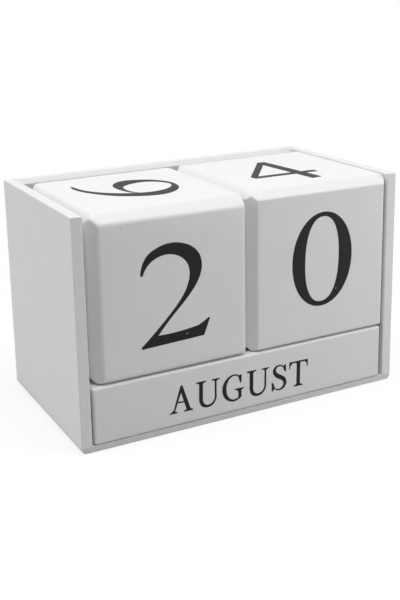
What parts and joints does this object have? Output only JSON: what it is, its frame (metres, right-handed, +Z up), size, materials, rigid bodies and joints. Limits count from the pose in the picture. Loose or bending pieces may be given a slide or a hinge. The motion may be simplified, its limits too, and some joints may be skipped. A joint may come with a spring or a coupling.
{
  "type": "perpetual block calendar",
  "caption": "Open-fronted painted wood holder with lift-out date cubes standing on sliding month bars.",
  "frame": {"origin": "middle of the holder's footprint, on the surface it stands on", "axes": "+X along the holder to the right seen from the front, +Y from the open front to the back, +Z up"},
  "size_m": [0.13, 0.07, 0.0827],
  "materials": {
    "holder_paint": "satin white paint over fine-grained wood",
    "bar_paint": "satin white paint over fine-grained wood",
    "cube_paint": "satin white paint over fine-grained wood",
    "print_ink": "matt black screen-printed ink"
  },
  "bodies": {
    "holder": {"base_board": "holder_paint", "back_board": "holder_paint", "left_side_board": "holder_paint", "right_side_board": "holder_paint"},
    "left_cube": {"date_cube_left": "cube_paint"},
    "right_cube": {"date_cube_right": "cube_paint"},
    "rear_bar": {"month_bar_rear": "bar_paint"},
    "middle_bar": {"month_bar_middle": "bar_paint"},
    "front_bar": {"month_bar_front": "bar_paint"}
  },
  "joints": [
    {"name": "left_cube_lift", "type": "slide", "parent": "holder", "child": "left_cube", "axis": [0, 0, 1], "range_m": [0, 0.09]},
    {"name": "right_cube_lift", "type": "slide", "parent": "holder", "child": "right_cube", "axis": [0, 0, 1], "range_m": [0, 0.09]},
    {"name": "rear_bar_slide", "type": "slide", "parent": "holder", "child": "rear_bar", "axis": [0, -1, 0], "range_m": [0, 0.075]},
    {"name": "middle_bar_slide", "type": "slide", "parent": "rear_bar", "child": "middle_bar", "axis": [0, -1, 0], "range_m": [0, 0.05]},
    {"name": "front_bar_slide", "type": "slide", "parent": "middle_bar", "child": "front_bar", "axis": [0, -1, 0], "range_m": [0, 0.03]}
  ]
}
